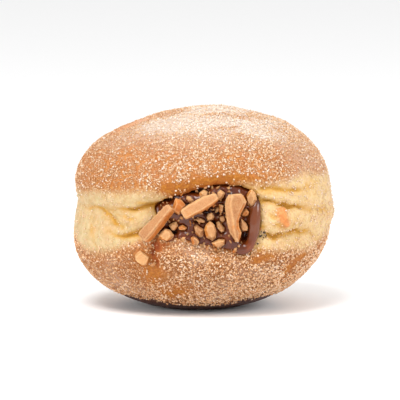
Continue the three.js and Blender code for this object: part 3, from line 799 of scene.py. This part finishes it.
def bun_dough():
    bun = copied_node("bun", "bun_dough")
    fallen = chip_hull(FALLEN_CHIP, front_face, 77, 0.8)
    own = own_places(bun)
    face = front_face(own[:, 0], own[:, 2])
    beneath = inside_hull(own, fallen, 0.1) & (own[:, 1] < face - 0.1)
    own[beneath, 1] = face[beneath] + 0.2
    move_to(bun, own)
    resurface(bun, BUN_VOXEL, 10)

    own = own_places(bun)
    out = normals(bun)
    x, y, z = own.T
    near = from_mouth(x, z)
    skin = ~((near < 0.4) & (y < 20) & (y > front_face(x, z) + 3.0))
    front = smooth(-y, 5, 17)
    longitude = np.degrees(np.arctan2(x - lean_at(z), -y))
    upper = between(longitude, UPPER_BORDER) + 1.2 * rough_noise(own, 11, 3)
    lower = between(longitude, LOWER_BORDER) + 1.2 * rough_noise(own, 9, 5)
    band = smooth(upper - z, -2.6, 2.8) * smooth(z - lower, -2.4, 2.6)

    # Relief in millimetres: slow unevenness, soft puckers in the pale waist, sharp creases
    lift = 0.26 * rough_noise(own, 7, 11) + 0.10 * value_noise(own, 2.1, 13)
    puckers = value_noise(own * (1, 1, 0.5), 3.4, 17) * 0.34
    puckers += value_noise(own, 1.3, 19) * 0.16 + value_noise(own, 0.9, 29) * 0.08
    lift += band * puckers
    # How creased the skin is, for colour that is partly the creases' own tint and partly painted
    # shade
    creased = np.zeros(len(x))
    for depth, path in CREASES:
        wobble = 0.7 * value_noise(own, 2.6, 23)
        away, share = to_path(x + wobble, z + wobble, path)
        deep = depth * front * (1 - 0.75 * smooth(share, 0.4, 1))
        deep *= 0.8 + 0.5 * value_noise(own, 4, 27)
        lift += -deep * bump(away, 0.65) + 0.4 * deep * bump(away - 1.6, 0.9)
        creased = np.maximum(creased, deep * bump(away, 0.62) * 1.1)
        creased = np.maximum(creased, 0.42 * depth * front * bump(away, 1.5) * (1 - 0.5 * share))
    # Painted shade: where the waist's relief sinks in, its colour is made deeper yellow
    sunk = band * smooth(-lift, -0.05, 0.5)
    for *spot, amount in STAINS:
        away = spot_distance(x, z, *spot) + 0.3 * value_noise(own, 1.2, 33)
        creased = np.maximum(creased, amount * front * bump(away, 1))
    # Short ridges on the crown
    for cx, cy, reach, turn in ((-9, -14, 15, 0.1), (7, -8, 18, -0.05), (16, 4, 14, 0.3)):
        u = (x - cx) * math.cos(turn) + (y - cy) * math.sin(turn)
        v = -(x - cx) * math.sin(turn) + (y - cy) * math.cos(turn) + 1.2 * np.sin(u / 5)
        lift += 0.55 * bump(u, reach) * bump(v, 1.6) * smooth(z, 55, 62)
    # A raised orange streak of thin dough to the right of the slit
    streak, along = to_path(x, z, [(25.0, 37.8), (26.3, 34.6), (28.3, 30.4)])
    streak = streak + 0.5 * value_noise(own, 1.4, 93)
    raised = bump(streak, 1.8) * front * smooth(along, 0, 0.15) * (1 - smooth(along, 0.85, 1))
    lift += 0.75 * raised
    lift *= smooth(z, 0.3, 4) * skin * smooth(near, -0.5, 0.8)
    own += out * lift[:, None]
    # The lips are torn rather than cut: they stray up and down round the slit
    torn = bump(near, 1.8) * smooth(-y, 8, 16) * skin
    stray = 0.55 * value_noise(own, 3.2, 45) + 0.35 * value_noise(own, 1.3, 47)
    from_middle = own[:, [0, 2]] - MOUTH_MIDDLE
    from_middle /= np.linalg.norm(from_middle * (0.5, 1), axis=1, keepdims=True) + 1e-6
    own[:, 0] += from_middle[:, 0] * (stray * 0.5 - 0.2) * torn
    own[:, 2] += from_middle[:, 1] * (stray - 0.45) * torn
    corner = bump(spot_distance(x, z, -18.4, 35.4, 3.0, 3.2), 1) * smooth(-y, 8, 16)
    own[:, 0] += 2.1 * corner
    move_to(bun, own)

    x, y, z = own.T
    u, v = x, z * AHEAD + y * ABOVE
    facing = out @ (0, -AHEAD, ABOVE)
    seen = smooth(facing, -0.35, -0.1)
    away = 1 - seen
    bare = patches(u, v, own, BARE_PATCHES) * smooth(facing, -0.15, 0.02)
    bare += (0.35 + 0.2 * away) * smooth(rough_noise(own, 13, 31), 0.25, 0.6)
    thick = patches(u, v, own, WHITE_PATCHES) * seen
    thick += (0.3 + 0.3 * away) * smooth(rough_noise(own, 10, 37), 0.2, 0.6)
    lip = bump(near, 3.5) * smooth(z, 34, 40) * front
    dusted = between(z, POWDER) + 0.4 * thick - 0.8 * bare + 0.2 * rough_noise(own, 4, 41)
    # Skin turned down at the bottom: partly darker fried crust, partly painted shade where the bun
    # meets the floor
    under = smooth(-out[:, 2] + 0.05 * smooth(np.abs(x), 4, 25), 0.87, 0.93)
    dusted *= (1 - (0.96 - 0.045 * smooth(x, -5, 25)) * band) * (1 - 0.45 * lip)
    dusted *= smooth(near, -0.2, 1.6) * smooth(z, 0.4, 2.0) * (1 - under)
    dusted *= (1 - 0.85 * smooth(creased, 0.12, 0.4)) * ~inside_hull(own, fallen, 0.9)
    dusted *= (1 - raised) * (1 - 0.35 * bump(near - 1, 2.2) * smooth(z, 38, 41) * front)
    dusted = np.clip(dusted, 0, 1)
    sides = 1 - smooth(np.abs(longitude), 105, 165)
    coarse = (1 - 0.75 * smooth(-longitude, 18, 40) * sides) * (1 - 0.6 * smooth(z, 57, 64))
    coarse *= 1 - 0.6 * smooth(longitude, 38, 58) * smooth(z, 44, 50) * sides
    low_down = 1 - smooth(z, 48, 54)
    # The crown is painted whiter: partly sugar powder, partly painted sheen
    powdered = 0.75 * smooth(z, 54, 65) + 0.5 * thick * smooth(z, 50, 58) - 0.6 * bare
    powdered += 0.4 * smooth(longitude, 38, 62) * smooth(z, 45, 52) * sides
    # The crust is painted darker low down (less at the far sides), and where it is turned from the
    # eye above the waist and on bare patches
    deeper = 0.72 * (1 - smooth(z, 20, 27)) * (1 - smooth(bare, 0.15, 0.5))
    deeper *= (0.45 + 0.55 * smooth(x, -36, -16)) * (0.7 + 0.3 * smooth(-x, -38, -30))
    deeper += away * (0.25 * smooth(z, 42, 50) + 0.7 * smooth(bare, 0.1, 0.5))
    toasted = between(z, BROWNING)
    toasted += 0.55 * bare * low_down + 0.5 * lip + 0.18 * rough_noise(own, 9, 43)
    # The torn lip's edge and the crevice at the slit's left corner are painted browner and darker:
    # partly their own crust, partly painted shade
    lip_edge = bump(near, 1.0) * front * smooth(-y, 8, 14)
    crevice = smooth(0.6 - near, 0, 0.8) * smooth(-x, 12.5, 14) * smooth(z, 33, 35) * front
    keep_values(
        bun, browned=1 - band + raised + crevice, toasted=toasted, dusted=dusted,
        glazed=np.clip(0.6 * bare * (1 - low_down) * seen + 0.85 * raised, 0, 0.85),
        powdered=powdered, deeper=deeper, sunk=sunk, under=under,
        creased=np.clip(creased + 0.45 * lip_edge + crevice, 0, 0.9),
    )
    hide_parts("bun")
    return dress(bun, CRUST), own, dusted * skin, coarse, band


bun, bun_places, bun_dusted, bun_coarse, bun_band = bun_dough()

# ---- Sugar ----

SUNK_SHARE = 0.15  # how deep a grain sits in the crust, as a share of its size

# Forms of grains: corners about the middle, and triangles
CUBE = np.array(list(np.ndindex(2, 2, 2)), float) - 0.5, np.array([
    (0, 1, 3), (0, 3, 2), (4, 6, 7), (4, 7, 5), (0, 4, 5), (0, 5, 1),
    (2, 3, 7), (2, 7, 6), (0, 2, 6), (0, 6, 4), (1, 5, 7), (1, 7, 3),
])
GEM = np.array([
    (1, 0, 0), (-1, 0, 0), (0, 1, 0), (0, -1, 0), (0, 0, 1), (0, 0, -1),
]) * 0.6, np.array([
    (0, 2, 4), (2, 1, 4), (1, 3, 4), (3, 0, 4), (2, 0, 5), (1, 2, 5), (3, 1, 5), (0, 3, 5),
])
CHIPLET = np.array([
    (0, 0, 0.7), (0.66, 0, -0.23), (-0.33, 0.57, -0.23), (-0.33, -0.57, -0.23),
]), np.array([(0, 1, 2), (0, 2, 3), (0, 3, 1), (1, 3, 2)])


def random_turns(random, count):
    """Turns in every direction alike, one matrix each."""
    q = random.normal(size=(count, 4))
    w, x, y, z = (q / np.linalg.norm(q, axis=1, keepdims=True)).T
    return np.stack([
        1 - 2 * (y * y + z * z), 2 * (x * y - w * z), 2 * (x * z + w * y),
        2 * (x * y + w * z), 1 - 2 * (x * x + z * z), 2 * (y * z - w * x),
        2 * (x * z - w * y), 2 * (y * z + w * x), 1 - 2 * (x * x + y * y),
    ], -1).reshape(count, 3, 3)


def grains(name, form, size, spots, random):
    """One piece of loose grains, each turned at random about its spot."""
    corners, faces = form
    count = len(spots)
    turned = np.einsum("nij,nkj->nki", random_turns(random, count), corners[None] * size)
    faces = faces[None] + (np.arange(count) * len(corners))[:, None, None]
    return mesh_piece(name, (turned + spots[:, None]).reshape(-1, 3), faces.reshape(-1, 3))


def scatter(name, form, count, sizes, power, even, tints, seed):
    """Grains over the bun's skin, more where it is dusted, and as many on its fine parts where
    even is 1. Sizes are in millimetres, and tints are the share from golden to white."""
    random = np.random.default_rng(seed)
    mesh = bun.data
    mesh.calc_loop_triangles()
    corners = read(mesh.loop_triangles, "vertices", 3, np.int32)
    a, b, c = (bun_places[corners[:, k]] for k in range(3))
    cross = np.cross(b - a, c - a)
    area = np.linalg.norm(cross, axis=1) / 2
    amount = bun_dusted[corners].mean(1) ** power
    chance = area * amount * (even + (1 - even) * bun_coarse[corners[:, 0]])
    chosen = random.choice(len(corners), size=2 * count, p=chance / chance.sum())
    u, v = random.random(2 * count), random.random(2 * count)
    over = u + v > 1
    u[over], v[over] = 1 - u[over], 1 - v[over]
    spot = a[chosen] + u[:, None] * (b - a)[chosen] + v[:, None] * (c - a)[chosen]
    clumped = value_noise(spot, 0.65, 113) + 0.9 * random.random(2 * count)
    kept = np.argsort(clumped)[count:]
    chosen, spot = chosen[kept], spot[kept]
    up = cross[chosen] / (2 * area[chosen, None])
    size = random.uniform(*sizes, size=(count, 1, 1)) * random.uniform(0.75, 1.25, (count, 1, 3))
    rise = size.mean(axis=(1, 2)) * (0.5 - SUNK_SHARE)
    piece = grains(name, form, size, spot + up * rise[:, None], random)
    thick, band = (values[corners[chosen, 0]] for values in (bun_dusted, bun_band))
    tint = tints[0] + (tints[1] - tints[0]) * random.beta(1.0, 1.3, count)
    tint += 0.5 * smooth(thick, 0.55, 1.0)
    tint += band * np.maximum(0, 0.62 + 0.2 * random.random(count) - tint)
    # Grains low on the bun are painted warmer and brighter, as painted light where the lamps reach
    # less
    low = 1 - smooth(spot[:, 2], 22, 44)
    each = len(form[0])
    keep_values(piece, tint=np.repeat(tint, each), low=np.repeat(low, each))
    return dress(piece, SUGAR)


scatter("sugar_crystals", CUBE, 16500, (0.28, 0.47), 0.8, 0, (0.2, 1.0), 101)
scatter("sugar_fine", GEM, 24500, (0.26, 0.46), 0.9, 0.3, (0.1, 0.9), 103)
scatter("sugar_golden", GEM, 24500, (0.26, 0.50), 0.7, 0.7, (0.0, 0.65), 105)
scatter("sugar_dust", CHIPLET, 48000, (0.14, 0.28), 1.9, 1, (0.3, 0.8), 107)

# ---- The cream ----

CREAM_VOXEL = 0.00042

# Where the nuts are piled and no light reaches the cream: x, z, half width, half height
DARK_GAPS = [
    (0.9, 36.6, 1.5, 0.9), (3.0, 37.4, 1.6, 0.9), (6.9, 37.2, 0.9, 1.9), (4.5, 36.3, 0.9, 0.7),
    (5.6, 41.0, 1.4, 0.8), (-11.4, 40.9, 1.8, 1.1), (-3.6, 43.4, 3.6, 0.6), (13.4, 28.2, 1.3, 1.9),
    (12.3, 37.4, 0.8, 1.0), (-10.8, 31.3, 1.3, 0.6), (-9.6, 29.9, 0.9, 1.0), (-1.4, 33.6, 1.7, 0.5),
    (3.5, 32.9, 0.7, 1.4), (-4.6, 39.2, 1.6, 0.5),
]


def cream_filling():
    """Chocolate cream. The nuts lie on it as pieces of their own, so it is plain below them."""
    cream = copied_node("cream", "cream_filling")
    resurface(cream, CREAM_VOXEL, 0)
    own = own_places(cream)
    face = cream_face(own[:, 0], own[:, 2])
    for i, row in enumerate(CHIPS):
        under = inside_hull(own, chip_hull(row, cream_face, i + 1), 0.3) & (own[:, 1] < face)
        own[under, 1] = face[under] + 0.4
    move_to(cream, own)
    finish_with(cream, "SMOOTH", factor=0.5, iterations=8)
    own = own_places(cream)
    out = normals(cream)
    x, y, z = own.T
    near = from_mouth(x, z)
    shown = smooth(front_face(x, z) + 7 - y, 0, 2)
    swirl = 0.34 * rough_noise(own, 3.4, 51, 2) + 0.13 * value_noise(own, 1.2, 53)
    calm = 1 - 0.75 * smooth(x, 12.5, 16) - 0.8 * bump(np.hypot(x + 6.8, z - 28.9), 2.6)
    own += out * (swirl * shown * calm)[:, None]
    pits = np.zeros(len(x))
    for gap in DARK_GAPS:
        pits = np.maximum(pits, bump(spot_distance(x, z, *gap), 1))
    own[:, 1] += 1.7 * pits * shown
    # The rolled edge folds over along a soft ridge on its inner side
    fold = np.interp(z, (24.5, 26, 28, 31, 34, 38), (12.0, 13.7, 14.9, 15.4, 15.6, 15.5))
    ridge = bump(x - fold, 0.55) * shown * smooth(z, 24.5, 26.5) * (1 - smooth(z, 37, 40))
    own[:, 1] -= 0.5 * ridge
    # It clings to the dough round the slit
    cling = smooth(near, -3.5, -0.2) * shown
    own[:, [0, 2]] += out[:, [0, 2]] * 0.42 * cling[:, None]
    move_to(cream, own)
    # Painted shade: near black where the cream sinks back, beside the nuts, in the gaps among them
    # and under the upper lip
    hollow = smooth(y - cream_face(x, z), 0.4, 2.2) * (1 - smooth(x, 13, 16))
    for row in CHIPS:
        beside, _ = to_path(x - 0.3, z + 0.5, row[1] + row[1][:1])
        hollow = np.maximum(hollow, 0.4 * bump(beside, 0.8))
    for ends in SLIVER_ENDS.values():
        beside, _ = to_path(x - 0.4, z + 0.8, ends)
        hollow = np.maximum(hollow, 0.6 * smooth(-beside, -3.6, -2.2))
    hollow *= 0.7 + 0.6 * rough_noise(own, 3, 57)
    hollow = np.maximum(hollow, 1.2 * pits)
    # Painted light: the raised rolled edge is painted a lighter brown where it catches the light,
    # fading lower down
    roll = smooth(x, 13.6, 15.0) * (1 - smooth(z, 40, 42)) * smooth(y - cream_face(x, z), 0, -0.8)
    hollow *= 1 - roll
    # Painted shadow in a strip under the upper lip
    lip_shadow = bump(np.maximum(0, -0.4 - near), 0.9) * smooth(z, 37.5, 39.5)
    hollow = np.maximum(hollow, 0.7 * lip_shadow)
    keep_values(cream, roll=roll * smooth(z, 25, 31), hollow=hollow)
    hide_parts("cream")
    return dress(cream, CREAM)


cream_filling()

# ---- The almonds ----

SLIVER_VOXEL, CHIP_VOXEL = 0.00018, 0.00015

# Brown spots on the cut faces: x, z, half width, amount
ALMOND_SPOTS = [
    (9.0, 37.6, 0.35, 0.5), (9.7, 36.7, 0.4, 0.6), (10.1, 32.4, 0.9, 0.7), (9.6, 33.6, 0.5, 0.5),
    (11.0, 31.4, 0.6, 0.5), (0.9, 39.6, 1.1, 0.45), (2.4, 40.3, 0.7, 0.35), (8.3, 41.9, 0.5, 0.3),
    (-18.6, 28.6, 1.2, 0.5), (-16.6, 30.8, 0.6, 0.35), (-4.9, 36.9, 1.5, 0.5), (-6, 35.8, 1.2, 0.5),
    (6.4, 27.0, 0.9, 0.4), (-9.2, 40.2, 0.6, 0.3), (3.4, 41.9, 0.9, 0.3), (-12.4, 28.4, 0.8, 0.35),
    (10.9, 29.4, 0.7, 0.45), (9.2, 40.2, 0.5, 0.3),
]


def roughened(piece, seed, depth, side, share, tone, voxel, passes, ridge=None):
    """Broken almond: roasted skin on one side, a rough grain and its edges worn; standing edges are
    painted paler, partly as painted highlight, and sunken ones darker as painted shade.
    """
    resurface(piece, voxel, passes)
    own = own_places(piece)
    out = normals(piece)
    side = np.array(side, float)
    side /= np.linalg.norm(side)
    skin = smooth(out @ side + 0.15 * rough_noise(own + seed, 3, 63), share, share + 0.22)
    lift = depth * rough_noise(own + seed * 9, 2.2, 61) + 0.06 * value_noise(own, 0.7, 67)
    ridge_shade = 0
    if ridge:
        # Painted light: the ridge is left pale as a painted highlight, its sides and lower end
        # painted darker as painted shade
        facing = smooth(-out[:, 1], 0.3, 0.8)
        beside = own[:, 0] - between(own[:, 2], sorted((z, x) for x, z in ridge))
        lift += facing * (0.2 * bump(beside, 0.7) - 0.3 * bump(beside - 1.5, 1.0))
        ridge_shade = facing * (0.25 * smooth(-beside, 0.1, 0.8) + 0.4 * smooth(beside, 0.1, 0.9))
        ridge_shade += facing * 0.35 * smooth(-own[:, 2], -34, -30)
    # Edge values drive the painted highlight on standing edges and the painted shade in sunken ones
    edges = roundness(piece, 3) * 0.5 + 0.5
    own += out * lift[:, None]
    move_to(piece, own)
    for across, up, wide, amount in ALMOND_SPOTS:
        skin = np.maximum(skin, amount * bump(np.hypot(own[:, 0] - across, own[:, 2] - up), wide))
    # Each facet has a tone of its own, and facets turned down and right are painted darker, those
    # turned up and left paler: painted light
    facet_tone_and_shade = 0.16 * np.sin(5.1 * out[:, 0] + seed) * np.cos(4.3 * out[:, 2] - seed)
    turned = 0.85 * out[:, 2] - 0.45 * out[:, 0]
    facet_tone_and_shade += 0.6 * smooth(-turned, 0.15, 0.6) - 0.35 * smooth(turned, 0.15, 0.6)
    uneven = 0.4 * rough_noise(own + seed, 4, 69)
    keep_values(piece, edges=edges, tone=tone + ridge_shade + facet_tone_and_shade + uneven, skin=skin)


def almond_sliver(node_name, name, seed, tone, side, share, ridge=None):
    """A long sliver: crisp long edges, rough broken ends and roasted skin on one side."""
    piece = copied_node(node_name, name)
    finish_with(piece, "BEVEL", width=0.00018, segments=2, limit_method="ANGLE",
                angle_limit=math.radians(28))
    roughened(piece, seed, 0.17, side, share, tone, SLIVER_VOXEL, 2, ridge)
    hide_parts(node_name)
    return dress(piece, ALMOND)


almond_sliver("sliver_left", "almond_left", 3, 1.0, (0.7, -0.1, -0.7), 0.3)
almond_sliver("sliver_middle", "almond_middle", 5, 0.35, (0.49, -0.2, -0.8), 0.35)
almond_sliver("sliver_right", "almond_right", 8, 0.3, (1.0, -0.1, -0.3), 0.5,
              [(9.6, 42.5), (9.0, 38.9), (9.8, 34.5), (10.2, 31.0), (11.2, 27.5)])


def chopped_piece(row, face_at, seed, share=0.6):
    """A chopped piece: the hull of its corners with its edges broken and faces roughened."""
    piece = mesh_piece("chip", *chip_hull(row, face_at, seed, share))
    with editing(piece):
        bpy.ops.mesh.dissolve_limited(angle_limit=math.radians(12))
        bpy.ops.mesh.select_all(action="SELECT")
        bpy.ops.mesh.bevel(offset=0.00011, segments=1, affect="EDGES")
    tone, side, skin = row[2:]
    roughened(piece, seed, 0.13, side, 1.0 - 0.9 * skin, tone, CHIP_VOXEL, 1)
    return piece


def chips_on_cream():
    pieces = [chopped_piece(row, cream_face, i + 1) for i, row in enumerate(CHIPS)]
    pick(pieces[0])
    for other in pieces[1:]:
        other.select_set(True)
    bpy.ops.object.join()
    pieces[0].name = pieces[0].data.name = "nut_chips"
    dress(pieces[0], ALMOND)


chips_on_cream()
fallen = chopped_piece(FALLEN_CHIP, front_face, 77, 0.8)
fallen.name = "nut_fallen"
dress(fallen, ALMOND)

# ---- Crumbs ----

# x, z, size and length of the larger crumbs seen from the front
CRUMBS = [
    (-0.2, 26.2, 0.9, 3.2), (1.7, 25.0, 1.5, 1.8), (5.3, 24.0, 1.1, 1.3),
    (10.4, 23.6, 1.6, 1.8), (16.2, 22.0, 1.4, 1.7), (8.3, 43.5, 1.4, 1.6),
    (-16.6, 19.2, 1.6, 2.4), (4.3, 37.6, 1.6, 1.9), (-3.5, 35.2, 1.1, 1.3),
    (8.6, 29.0, 1.0, 1.2), (-5.4, 29.6, 1.1, 1.5), (2.9, 44.8, 1.0, 1.7),
    (-14.9, 36.4, 1.0, 1.2), (-16.2, 35.2, 0.8, 1.0), (-15.6, 37.8, 0.8, 1.1),
    (11.8, 25.4, 0.9, 1.1), (0.4, 28.4, 0.9, 1.1), (-7.2, 43.0, 0.9, 1.5),
    (4.9, 35.0, 0.9, 1.0), (7.6, 35.4, 0.8, 1.3), (4.9, 44.9, 0.9, 2.0), (0.8, 45.3, 0.8, 1.6),
    (3.4, 39.2, 0.9, 1.4), (5.9, 40.8, 1.0, 1.5), (2.9, 38.0, 0.8, 1.1), (-10.2, 34.4, 0.9, 1.2),
    (8.6, 44.6, 1.3, 1.6), (-2.4, 43.6, 1.2, 1.5), (3.2, 42.9, 1.1, 1.4), (7.4, 38.4, 1.1, 1.9),
    (0.6, 37.9, 1.2, 1.5), (-1.0, 36.2, 1.2, 1.6), (6.0, 33.2, 1.1, 1.3), (-7.4, 35.0, 1.0, 1.4),
    (-12.6, 34.2, 1.1, 1.4), (12.8, 39.6, 1.0, 1.5), (-6.6, 27.9, 1.3, 1.6), (11.0, 24.4, 1.4, 1.7),
    (-4.4, 33.4, 0.9, 1.2), (8.9, 26.9, 1.0, 1.3), (13.0, 26.6, 0.9, 1.2), (-12.2, 39.8, 1.0, 1.4),
]


def crumbs():
    random = np.random.default_rng(211)
    rows = list(CRUMBS)
    for _ in range(70):
        angle, reach = random.uniform(0, 2 * math.pi), random.uniform(0.2, 1.08)
        x = MOUTH_MIDDLE[0] + 17.5 * reach * math.cos(angle)
        z = MOUTH_MIDDLE[1] - 1 + 9.8 * reach * math.sin(angle)
        rows.append((x, z, random.uniform(0.4, 1.0), random.uniform(0.5, 1.3)))
    for _ in range(26):
        x, z = random.uniform(-22, 18), random.uniform(18, 27)
        rows.append((x, z, 0.5, random.uniform(0.5, 0.9)))
    points, faces, tones = [], [], []
    for x, z, wide, long in rows:
        spot = np.array([[x], [z]])
        inside = from_mouth(*spot)[0] < -0.6
        face = (cream_face if inside else front_face)(*spot)[0]
        turn = random_turns(random, 1)[0]
        form = random.normal(size=(8, 3))
        form *= random.uniform(0.52, 0.7, (8, 1)) / np.linalg.norm(form, axis=1, keepdims=True)
        form *= (wide, min(wide, 1.2), long)
        tilt = random.uniform(-0.7, 0.7)
        spin = np.array([
            (math.cos(tilt), 0, math.sin(tilt)), (0, 1, 0), (-math.sin(tilt), 0, math.cos(tilt)),
        ])
        shaped = form @ (spin if long > 1.4 * wide else turn).T
        corners, triangles = hull_of(shaped + (x, face - 0.4 * wide, z))
        faces.append(triangles + sum(len(p) for p in points))
        points.append(corners)
        tones.append(np.full(len(corners), random.uniform(0, 1)))
    piece = mesh_piece("nut_crumbs", np.vstack(points), np.vstack(faces))
    tone = np.concatenate(tones)
    keep_values(piece, tone=tone, skin=(tone > 0.78) * 0.9, edges=np.full(len(tone), 0.5))
    return dress(piece, ALMOND)


crumbs()

# ---- Cocoa specks beside the cream's rolled edge ----


def cocoa_specks():
    random = np.random.default_rng(307)
    count = 24
    z = random.uniform(24.4, 30.4, count)
    x = 17.2 + (z - 24.6) * 0.36 + random.uniform(0, 1, count) * 2.6
    y = front_face(x, z) + 0.4
    size = random.uniform(0.2, 0.46, (count, 1, 1)) * random.uniform(0.6, 1.4, (count, 1, 3))
    piece = grains("cocoa_specks", CUBE, size, np.stack([x, y, z], 1), random)
    return dress(piece, COCOA)


cocoa_specks()

# ---- Floor, light and camera ----

EYE_DISTANCE, EYE_RISE = 2.4, 7  # metres and degrees
VIEW_WIDTH = 0.136


def studio():
    bpy.ops.object.select_all(action="DESELECT")
    bpy.ops.mesh.primitive_plane_add(size=30, location=(0, 0, -0.0001))
    floor = bpy.context.object
    floor.name = "floor"
    pale = (0.95, 0.95, 0.95, 1)
    finish = new_finish("pale_floor", Roughness=0.9, Specular_IOR_Level=0.1, Base_Color=pale)
    floor.data.materials.append(finish)

    world = bpy.data.worlds.new("soft_sky")
    SCENE.world = world
    world.use_nodes = True
    sky = world.node_tree.nodes["Background"]
    sky.inputs["Color"].default_value = (1, 1, 1, 1)
    sky.inputs["Strength"].default_value = 0.85

    for name, place, size, power in (
        ("key", (-0.20, -0.50, 0.82), 0.45, 6.4),
        ("right_fill", (0.65, -0.35, 0.40), 0.4, 3.3),
        ("left_fill", (-0.70, -0.50, 0.20), 0.5, 3.2),
    ):
        data = bpy.data.lights.new(name, "AREA")
        data.shape = "DISK"
        data.size = size
        data.energy = power
        lamp = new_object(name, data)
        lamp.location = place
        lamp.rotation_mode = "QUATERNION"
        aim = Vector((0, 0, 0.03)) - Vector(place)
        lamp.rotation_quaternion = aim.to_track_quat("-Z", "Y")


def camera():
    """A little above the slit and far off, with a long lens."""
    data = bpy.data.cameras.new("camera")
    data.lens = data.sensor_width * EYE_DISTANCE / VIEW_WIDTH
    data.clip_end = 50
    eye = new_object("camera", data)
    rise = math.radians(EYE_RISE)
    target = Vector(to_row((-1.15, 0, 35.9)))
    back = Vector((0, -math.cos(rise), math.sin(rise)))
    eye.location = target + back * EYE_DISTANCE
    eye.rotation_mode = "QUATERNION"
    eye.rotation_quaternion = (-back).to_track_quat("-Z", "Y")
    SCENE.camera = eye


studio()
camera()
SCENE.view_settings.view_transform = "Standard"
